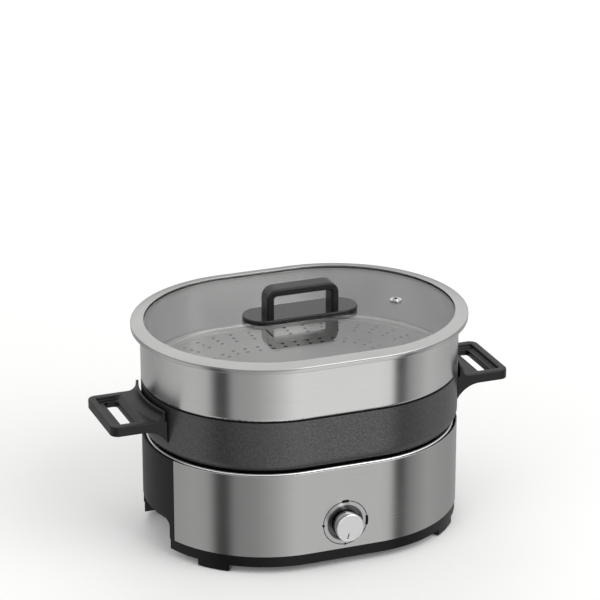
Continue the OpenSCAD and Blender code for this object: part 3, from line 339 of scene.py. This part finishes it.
# what the finishes of a kind share
sheet = {"lines": "level", "lineMm": 0.35, "lengthMm": 120.0, "cloudMm": 70.0, "depthMm": 0.01,
         "relief": 0.04, "anisotropy": 0.7}
plastic = {"ior": 1.53, "specular": 0.32, "grainMm": 0.8, "cloudMm": 30.0, "depthMm": 0.02, "relief": 0.2}
sprayed = {"ior": 1.45, "fleckSpan": (0.40, 0.68), "relief": 0.06}
finishes = {
    # ground sheet: soft streaks, grey on the panels and paler on the steamer, whose floor is duller; the
    # panels' grey is painted shade, the same steel painted darker for the dimmer surround they reflect
    "panelSteel": groundMetal("groundStainlessPanel", {
        **sheet, "dark": "#ACACAB", "light": "#B0B0AF", "roughness": (0.22, 0.28)}),
    "steamerSteel": groundMetal("groundStainlessSteamer", {
        **sheet, "dark": "#CACAC9", "light": "#D1D1D0", "roughness": (0.20, 0.26)}),
    "floorSteel": groundMetal("pressedStainlessFloor", {
        **sheet, "lines": "lengthwise", "dark": "#BFBFBE", "light": "#C8C8C7", "roughness": (0.30, 0.38),
        "anisotropy": 0.0}),
    # the knob's face: pale and silky
    "knobSatin": groundMetal("satinTurnedAluminium", {
        **sheet, "dark": "#CFCFCF", "light": "#DCDCDC", "roughness": (0.28, 0.36), "anisotropy": 0.2}),
    # even satin on the lid's band, a bright haze in the bowl, its colour lighter than steel's own as
    # painted light, and near mirrors on guides, knob and dish, the dish's colour darkened as painted shade
    "rimSteel": polishedMetal("satinStainlessRim", {
        "dark": "#C0C0BF", "light": "#C6C6C5", "roughness": (0.20, 0.24), "markMm": 40.0}),
    # painted light: the bowl's colour is raised above drawn steel's to make up for the shade of the pot
    # above it
    "bowlSteel": polishedMetal("drawnSteelWithPaintedLight", {
        "dark": "#EFEFEE", "light": "#F5F5F4", "roughness": (0.36, 0.44), "markMm": 14.0}),
    "guideSteel": polishedMetal("polishedSteelStrip", {
        "dark": "#DDDDDC", "light": "#E6E6E5", "roughness": (0.12, 0.18), "markMm": 8.0}),
    "chrome": polishedMetal("chromePlate", {
        "dark": "#D6D6D6", "light": "#E0E0E0", "roughness": (0.04, 0.08), "markMm": 5.0}),
    # painted shade: the dish's own grey is painted darker for the shadow in the hollow round the knob
    "dishMetal": polishedMetal("turnedAluminiumDish", {
        "dark": "#4C4C4D", "light": "#585859", "roughness": (0.07, 0.11), "markMm": 4.0}),
    # plating that is dull on sheet and glints on screws, and a tube browned by its own heat
    "zincSheet": polishedMetal("zincPlatedSheet", {
        "dark": "#9C9E9E", "light": "#AEB0B0", "roughness": (0.34, 0.48), "markMm": 6.0}),
    "screwSteel": polishedMetal("zincPlatedScrew", {
        "dark": "#A2A2A1", "light": "#B4B4B3", "roughness": (0.22, 0.34), "markMm": 2.0}),
    "heaterTube": polishedMetal("heatDarkenedTube", {
        "dark": "#5E5850", "light": "#756C62", "roughness": (0.40, 0.55), "markMm": 5.0}),
    # black mouldings: a soft sheen on the base, satin on the handles, and sharper lights on the lid's plate
    "blackAbs": moulded("blackAbsMoulding", {
        **plastic, "specular": 0.2, "dark": "#0A0A0B", "light": "#0E0E0F", "roughness": (0.32, 0.44)}),
    "phenolic": moulded("blackPhenolicBridge", {
        **plastic, "ior": 1.58, "dark": "#0E0E0F", "light": "#121213", "roughness": (0.26, 0.36)}),
    "mattePhenolic": moulded("blackPhenolicHandle", {
        **plastic, "ior": 1.58, "specular": 0.3, "dark": "#0E0E0F", "light": "#131314",
        "roughness": (0.34, 0.46)}),
    "glossPhenolic": moulded("polishedPhenolicPlate", {
        **plastic, "ior": 1.58, "dark": "#101011", "light": "#131314", "roughness": (0.12, 0.18),
        "depthMm": 0.004}),
    # seals and pads: dull, dark grey or milky
    "siliconeBlack": moulded("blackSilicone", {
        **plastic, "ior": 1.41, "dark": "#2A2A2C", "light": "#303032", "roughness": (0.36, 0.46)}),
    "siliconeClear": moulded("milkySilicone", {
        **plastic, "ior": 1.41, "dark": "#B4B5B3", "light": "#BDBEBC", "roughness": (0.45, 0.58)}),
    "rubber": moulded("footRubber", {
        **plastic, "ior": 1.5, "dark": "#1C1C1D", "light": "#242425", "roughness": (0.60, 0.72)}),
    # electrical cases: cream and off white, without a shine
    "ureaCase": moulded("ureaThermostatCase", {
        **plastic, "dark": "#C9C1AE", "light": "#D2CAB8", "roughness": (0.45, 0.58)}),
    "terminalCase": moulded("nylonTerminalCase", {
        **plastic, "dark": "#E1DED5", "light": "#E9E6DE", "roughness": (0.40, 0.52)}),
    # ink: flat black
    "printBlack": moulded("screenPrintInk", {
        **plastic, "specular": 0.1, "dark": "#070708", "light": "#0B0B0C", "roughness": (0.50, 0.60),
        "depthMm": 0.004}),
    # sprayed coats: flecks that sparkle in the pot, and hardly show on the hotplate
    "coating": sprayedCoating("sprayedNonStick", {
        **sprayed, "dark": "#4A4A4A", "light": "#737373", "fleckMm": 0.9, "metallic": 0.88,
        "roughness": (0.30, 0.38), "depthMm": 0.03}),
    "hotplateLacquer": sprayedCoating("heatproofLacquer", {
        **sprayed, "dark": "#56534F", "light": "#63605B", "fleckMm": 1.2, "metallic": 0.2,
        "roughness": (0.46, 0.58), "depthMm": 0.04}),
    "glass": toughenedGlass("toughenedGlass", {
        "tint": "#D4D5D4", "ior": 1.46, "roughness": (0.0, 0.012), "wipeMm": 60.0,
        "wipeStretch": (1, 2.5, 1)}),
}
print("finishes made:", len(finishes))

dressing = {
    "panelSteel": ["front_panel", "rear_panel"],
    "steamerSteel": ["steamer_wall"],
    "floorSteel": ["steamer_floor"],
    "knobSatin": ["knob_face"],
    "rimSteel": ["lid_rim"],
    "bowlSteel": ["inner_bowl"],
    "guideSteel": ["left_pot_guide", "right_pot_guide"],
    "chrome": ["knob_body", "vent_eyelet"],
    "dishMetal": ["dial_dish"],
    "zincSheet": ["bottom_cover", "heat_shield", "hotplate_bracket"],
    "screwSteel": ["bottom_screws", "bowl_screws", "handle_screws", "lid_screws", "hotplate_nut",
                   "knob_shaft"],
    "heaterTube": ["heating_element"],
    "blackAbs": ["plinth", "left_end_panel", "right_end_panel", "cord_gland"],
    "phenolic": ["lid_handle"],
    "mattePhenolic": ["left_handle", "right_handle"],
    "glossPhenolic": ["lid_handle_plate"],
    "siliconeBlack": ["divider_seal", "lid_washers"],
    "siliconeClear": ["lid_gasket"],
    "rubber": ["foot_pads"],
    "ureaCase": ["thermostat", "thermal_cutout"],
    "terminalCase": ["terminal_block"],
    "coating": ["pot_body", "divider_plate"],
    "hotplateLacquer": ["hotplate"],
    "glass": ["lid_glass"],
}
for finish, names in dressing.items():
    for name in names:
        nodes[name].data.materials.clear()
        nodes[name].data.materials.append(finishes[finish])
print("nodes dressed")


# a finished mesh as a piece that rides on a body
def addPiece(name, bm, finish, body):
    mesh = bpy.data.meshes.new(name)
    bmesh.ops.recalc_face_normals(bm, faces=bm.faces)
    bm.to_mesh(mesh)
    bm.free()
    mesh.materials.append(finishes[finish])
    piece = bpy.data.objects.new(name, mesh)
    bpy.context.scene.collection.objects.link(piece)
    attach(piece, body)
    return piece


# a band of faces between two closed loops of points
def bridge(bm, loopA, loopB):
    count = len(loopA)
    for i in range(count):
        k = (i + 1) % count
        bm.faces.new((loopA[i], loopA[k], loopB[k], loopB[i]))


# a skin over a row of closed sections, joined end to start or capped at both ends
def skin(bm, sections, joined):
    for a, b in zip(sections, sections[1:]):
        bridge(bm, a, b)
    if joined:
        bridge(bm, sections[-1], sections[0])
    else:
        bm.faces.new(sections[0])
        bm.faces.new(sections[-1])


# moulded and cast edges are never knife sharp: a small round, here in mm, catches the light along them
softEdges = {
    "nodes": {"plinth": 0.5, "left_end_panel": 0.5, "right_end_panel": 0.5, "hotplate": 0.4,
              "left_pot_guide": 0.3, "right_pot_guide": 0.3, "divider_plate": 0.6},
    "segments": 2,
    "edgeAngle": 50.0,  # degrees; only edges that turn by more are rounded
}


def softenEdges(setup):
    for name, widthMm in setup["nodes"].items():
        bevel = nodes[name].modifiers.new("softEdge", "BEVEL")
        bevel.width = widthMm * mm
        bevel.segments = setup["segments"]
        bevel.limit_method = "ANGLE"
        bevel.angle_limit = math.radians(setup["edgeAngle"])


softenEdges(softEdges)
print("edges softened")

# the pot's handles, pressed in a mould with well rounded edges: the node's form on an even mesh, relaxed
handles = {
    "even": 0.7 * mm,  # spacing of the even mesh
    "rounds": 14, "share": 0.5,  # how often it is relaxed, and how far each time
    "sets": [{"node": "left_handle", "name": "left_handle_moulded"},
             {"node": "right_handle", "name": "right_handle_moulded"}],
}


def buildHandles(setup):
    for one in setup["sets"]:
        piece = bpy.data.objects.new(one["name"], nodes[one["node"]].data.copy())
        bpy.context.scene.collection.objects.link(piece)
        even = piece.modifiers.new("evenMesh", "REMESH")
        even.mode = "VOXEL"
        even.voxel_size = setup["even"]
        even.use_smooth_shade = True
        relaxed = piece.modifiers.new("relaxed", "SMOOTH")
        relaxed.factor = setup["share"]
        relaxed.iterations = setup["rounds"]
        depsgraph = bpy.context.evaluated_depsgraph_get()
        made = bpy.data.meshes.new_from_object(piece.evaluated_get(depsgraph))
        piece.modifiers.clear()
        piece.data = made
        made.name = one["name"]
        made.materials.clear()
        made.materials.append(finishes["mattePhenolic"])
        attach(piece, "pot")
        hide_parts(one["node"])


buildHandles(handles)
print("handles moulded")

# the lid's steel band is hemmed: its outer edge turns down over a lip with a dark seam between, and its
# inner edge stands a little above the glass. Each corner of its section has, in mm, the distance in from
# the outer edge, the height above the band's underside, and how far back its rounding starts
lidBand = {
    "node": "lid_rim", "name": "lid_rim_hemmed", "endSteps": 64, "cornerSteps": 4,
    "edgeAngle": 12.0,  # degrees; edges that turn by more stay crisp
    "ringDrop": 4.0 * mm,  # how far the ring that drops into the steamer reaches below the band
    "section": [
        (14, 8.2, 0.4), (0, 5.7, 0.9), (0, 4.4, 0.3),  # band
        (1.2, 4.4, 0), (1.2, 3.8, 0),  # seam
        (0.2, 3.8, 0.3), (0.2, 0, 0.9), (1.6, 0, 0),  # lip
        (1.6, 2.4, 0), (7.1, 2.4, 0), (7.1, 0, 0),  # hollow behind the lip
        (13, 0, 0), (13, -4, 0), (14, -4, 0),  # ring that drops into the steamer
        (14, 1.2, 0), (8.3, 1.2, 0), (8.3, 6.2, 0),  # seat of the glass and its gasket
        (12, 6.2, 0), (12, 7.3, 0), (14, 7.3, 0.2),  # gap above the glass
    ],
}


# a closed outline with its corners rounded by a curve between the points where it leaves the sides
def roundedOutline(corners, steps):
    outline = []
    for i, (x, y, back) in enumerate(corners):
        here = Vector((x, y))
        if back == 0:
            outline.append(here)
            continue
        before = (Vector(corners[i - 1][:2]) - here).normalized()
        after = (Vector(corners[(i + 1) % len(corners)][:2]) - here).normalized()
        start = here + before * back
        end = here + after * back
        for k in range(steps + 1):
            t = k / steps
            outline.append(start * (1 - t) ** 2 + here * 2 * t * (1 - t) + end * t ** 2)
    return outline


# the section swept round the lid: half a turn at the right end, then half a turn at the left end
def buildLidBand(setup):
    low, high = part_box(setup["node"])
    reach = high[1]
    straight = high[0] - reach
    underside = low[2] + setup["ringDrop"]
    outline = roundedOutline(setup["section"], setup["cornerSteps"])
    steps = setup["endSteps"]
    bm = bmesh.new()
    sections = []
    for side, first in ((1, -math.pi / 2), (-1, math.pi / 2)):
        middle = Vector((side * straight, 0, underside))
        for i in range(steps + 1):
            a = first + math.pi * i / steps
            out = Vector((math.cos(a), math.sin(a), 0))
            points = [middle + out * (reach - p.x * mm) + Vector((0, 0, p.y * mm)) for p in outline]
            sections.append([bm.verts.new(point) for point in points])
    skin(bm, sections, True)
    piece = addPiece(setup["name"], bm, "rimSteel", "lid")
    piece.data.shade_smooth()
    piece.data.set_sharp_from_angle(angle=math.radians(setup["edgeAngle"]))
    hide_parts(setup["node"])


buildLidBand(lidBand)
print("lid banded")

# dial print on the panel round the knob: a thin ring with a short arc at the top, a longer one at the
# right and two dots; angles run clockwise from the top
dial = {
    "around": "dial_dish", "ringDepth": 0.12 * mm, "markDepth": 0.18 * mm,
    "ringRadius": 24.4 * mm, "ringWidth": 0.8 * mm, "ringSteps": 120, "arcSteps": 12, "dotSteps": 28,
    "arcs": [{"middle": 0.0, "length": 7.4 * mm, "width": 3.0 * mm},
             {"middle": 92.0, "length": 10.2 * mm, "width": 3.0 * mm}],
    "dots": [{"middle": 270.0, "radius": 1.5 * mm}, {"middle": 180.0, "radius": 1.2 * mm}],
}


# where the knob's axis meets the panel's face
def dialMiddle(setup):
    low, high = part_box(setup["around"])
    return Vector((0, low[1], (low[2] + high[2]) / 2))


# the direction from the knob's axis at an angle from the top
def dialDirection(angle):
    return Vector((math.sin(angle), 0, math.cos(angle)))


# a flat band of ink along a circle, closed where it goes all the way round
def inkBand(bm, middle, radius, width, fromAngle, toAngle, depth, steps):
    whole = toAngle - fromAngle >= fullTurn
    lift = Vector((0, -depth, 0))
    sections = []
    for i in range(steps if whole else steps + 1):
        out = dialDirection(fromAngle + (toAngle - fromAngle) * i / steps)
        inner = middle + out * (radius - width / 2)
        outer = middle + out * (radius + width / 2)
        sections.append([bm.verts.new(v) for v in (inner, outer, outer + lift, inner + lift)])
    skin(bm, sections, whole)


def inkDot(bm, middle, radius, depth, steps):
    rim = [middle + dialDirection(fullTurn * i / steps) * radius for i in range(steps)]
    lift = Vector((0, -depth, 0))
    skin(bm, [[bm.verts.new(v) for v in rim], [bm.verts.new(v + lift) for v in rim]], False)


def buildDialPrint(setup):
    middle = dialMiddle(setup)
    radius = setup["ringRadius"]
    bm = bmesh.new()
    inkBand(bm, middle, radius, setup["ringWidth"], 0.0, fullTurn, setup["ringDepth"], setup["ringSteps"])
    addPiece("dial_ring_print", bm, "printBlack", "base")
    bm = bmesh.new()
    for mark in setup["arcs"]:
        turn = math.radians(mark["middle"])
        half = mark["length"] / radius / 2
        inkBand(bm, middle, radius, mark["width"], turn - half, turn + half, setup["markDepth"],
                setup["arcSteps"])
    for mark in setup["dots"]:
        at = middle + dialDirection(math.radians(mark["middle"])) * radius
        inkDot(bm, at, mark["radius"], setup["markDepth"], setup["dotSteps"])
    addPiece("dial_marks_print", bm, "printBlack", "base")


buildDialPrint(dial)

# ink in the pointer's groove on the knob's face, turned as the groove is
pointer = {"on": "knob_face", "turn": 16.0, "width": 1.14 * mm, "from": 6.05 * mm, "to": 11.95 * mm,
           "grooveDepth": 0.5 * mm, "inkDepth": 0.2 * mm, "steps": 6}


def buildPointerInk(setup):
    along = dialDirection(math.radians(180 + setup["turn"]))
    across = Vector((along.z, 0, -along.x)) * (setup["width"] / 2)
    lift = Vector((0, -setup["inkDepth"], 0))
    middle = dialMiddle(dial)
    middle.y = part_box(setup["on"])[0][1] + setup["grooveDepth"]
    bm = bmesh.new()
    sections = []
    for i in range(setup["steps"] + 1):
        at = middle + along * (setup["from"] + (setup["to"] - setup["from"]) * i / setup["steps"])
        left = at - across
        right = at + across
        sections.append([bm.verts.new(v) for v in (left, right, right + lift, left + lift)])
    skin(bm, sections, False)
    addPiece("knob_pointer_ink", bm, "printBlack", "knob")


buildPointerInk(pointer)
print("dial printed")

panHead = 2.4 * mm  # height of a full pan head

# pan-head screws with a cross recess in place of the CAD's plain ones; a negative head points down.
# Four more hold the bowl at its long sides
screws = {
    "headRadius": 4.0 * mm, "flatRadius": 2.7 * mm, "shankRadius": 2.0 * mm, "steps": 32, "roundSteps": 5,
    "edgeShare": 0.35,  # how much of the head's height is straight before it rounds over
    "crossHalf": 0.55 * mm, "crossReach": 2.1 * mm, "crossDepth": 0.9 * mm,
    "deepest": 0.6,  # the most of a head's height that the cross may cut
    "crossTaper": 0.75,  # the size of the cross's floor as a share of its mouth
    "tipSteps": 3,  # steps of the flat's edge to each side of an arm of the cross
    "sets": [
        {"node": "bowl_screws", "name": "bowl_screws_cross", "body": "base", "head": panHead,
         "turns": (12, 55, 80, 31)},
        {"node": "handle_screws", "name": "handle_screws_cross", "body": "pot", "head": -panHead,
         "turns": (20, 64)},
        {"node": "bottom_screws", "name": "bottom_screws_cross", "body": "base", "head": -1.2 * mm,
         "turns": (40, 8, 71, 25)},
        {"node": "lid_screws", "name": "lid_screws_cross", "body": "lid", "head": -panHead,
         "turns": (33, 77)},
    ],
    "bowlSides": {"x": 67 * mm, "y": 88 * mm, "head": 2.0 * mm, "shank": 0.8 * mm,
                  "turns": (70, 18, 47, 5)},
}


# where the screws of a set stand: the corners or the two ends of the node's box
def screwPlaces(node, r):
    low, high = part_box(node)
    xs = (low[0] + r, high[0] - r)
    ys = (low[1] + r, high[1] - r)
    if ys[1] - ys[0] < r:
        return [(x, (ys[0] + ys[1]) / 2) for x in xs]
    return [(x, y) for x in xs for y in ys]


# the cross in the flat of a head, and the flat round it in two pieces for each arm
def sinkCross(bm, setup, head, edge):
    half = setup["crossHalf"]
    reach = setup["crossReach"]
    taper = setup["crossTaper"]
    depth = min(setup["crossDepth"], head * setup["deepest"])
    corners = []
    for arm in range(4):
        c = math.cos(arm * math.pi / 2)
        s = math.sin(arm * math.pi / 2)
        for x, y in ((reach, -half), (reach, half), (half, half)):
            corners.append((x * c - y * s, x * s + y * c))
    top = [bm.verts.new((x, y, head)) for x, y in corners]
    floor = [bm.verts.new((x * taper, y * taper, head - depth)) for x, y in corners]
    bridge(bm, top, floor)
    bm.faces.new(floor)
    steps = len(edge)
    quarter = steps // 4
    side = setup["tipSteps"]
    for arm in range(4):
        endA, endB, inner = top[3 * arm:3 * arm + 3]
        nextEnd = top[(3 * arm + 3) % len(top)]
        tip = [edge[(arm * quarter + i) % steps] for i in range(-side, side + 1)]
        between = [edge[(arm * quarter + i) % steps] for i in range(side, quarter - side + 1)]
        bm.faces.new([endB, endA] + tip)
        bm.faces.new([nextEnd, inner, endB] + between)
    return top + floor


# one screw standing on z 0 with its head up and its shank down, turned about its axis
def addScrew(bm, setup, head, shank, turn):
    steps = setup["steps"]
    outer = setup["headRadius"]
    flat = setup["flatRadius"]
    neck = setup["shankRadius"]
    edge = head * setup["edgeShare"]
    profile = [(neck, -shank), (neck, 0.0), (outer, 0.0), (outer, edge)]
    for i in range(1, setup["roundSteps"] + 1):
        a = math.pi / 2 * i / setup["roundSteps"]
        profile.append((flat + (outer - flat) * math.cos(a), edge + (head - edge) * math.sin(a)))
    angles = [fullTurn * i / steps for i in range(steps)]
    rings = [[bm.verts.new((r * math.cos(a), r * math.sin(a), z)) for a in angles] for r, z in profile]
    for low, high in zip(rings, rings[1:]):
        bridge(bm, low, high)
    bm.faces.new(rings[0][::-1])
    made = [v for ring in rings for v in ring] + sinkCross(bm, setup, head, rings[-1])
    bmesh.ops.rotate(bm, verts=made, matrix=Matrix.Rotation(math.radians(turn), 3, "Z"))
    return made


def buildScrews(setup):
    for one in setup["sets"]:
        low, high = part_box(one["node"])
        down = one["head"] < 0
        head = abs(one["head"])
        shank = high[2] - low[2] - head
        seat = low[2] + head if down else high[2] - head
        bm = bmesh.new()
        for (x, y), turn in zip(screwPlaces(one["node"], setup["headRadius"]), one["turns"]):
            made = addScrew(bm, setup, head, shank, turn)
            if down:
                bmesh.ops.rotate(bm, verts=made, matrix=Matrix.Rotation(math.pi, 3, "X"))
            bmesh.ops.translate(bm, verts=made, vec=(x, y, seat))
        piece = addPiece(one["name"], bm, "screwSteel", one["body"])
        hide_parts(one["node"])


# the four at the long sides sit on the same floor as the bowl's other screws
def buildSideScrews(setup):
    sides = setup["bowlSides"]
    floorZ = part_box("bowl_screws")[1][2] - panHead
    places = [(x, y) for x in (-sides["x"], sides["x"]) for y in (-sides["y"], sides["y"])]
    bm = bmesh.new()
    for (x, y), turn in zip(places, sides["turns"]):
        made = addScrew(bm, setup, sides["head"], sides["shank"], turn)
        bmesh.ops.translate(bm, verts=made, vec=(x, y, floorZ))
    addPiece("bowl_side_screws", bm, "screwSteel", "base")


buildScrews(screws)
buildSideScrews(screws)
print("screws built")
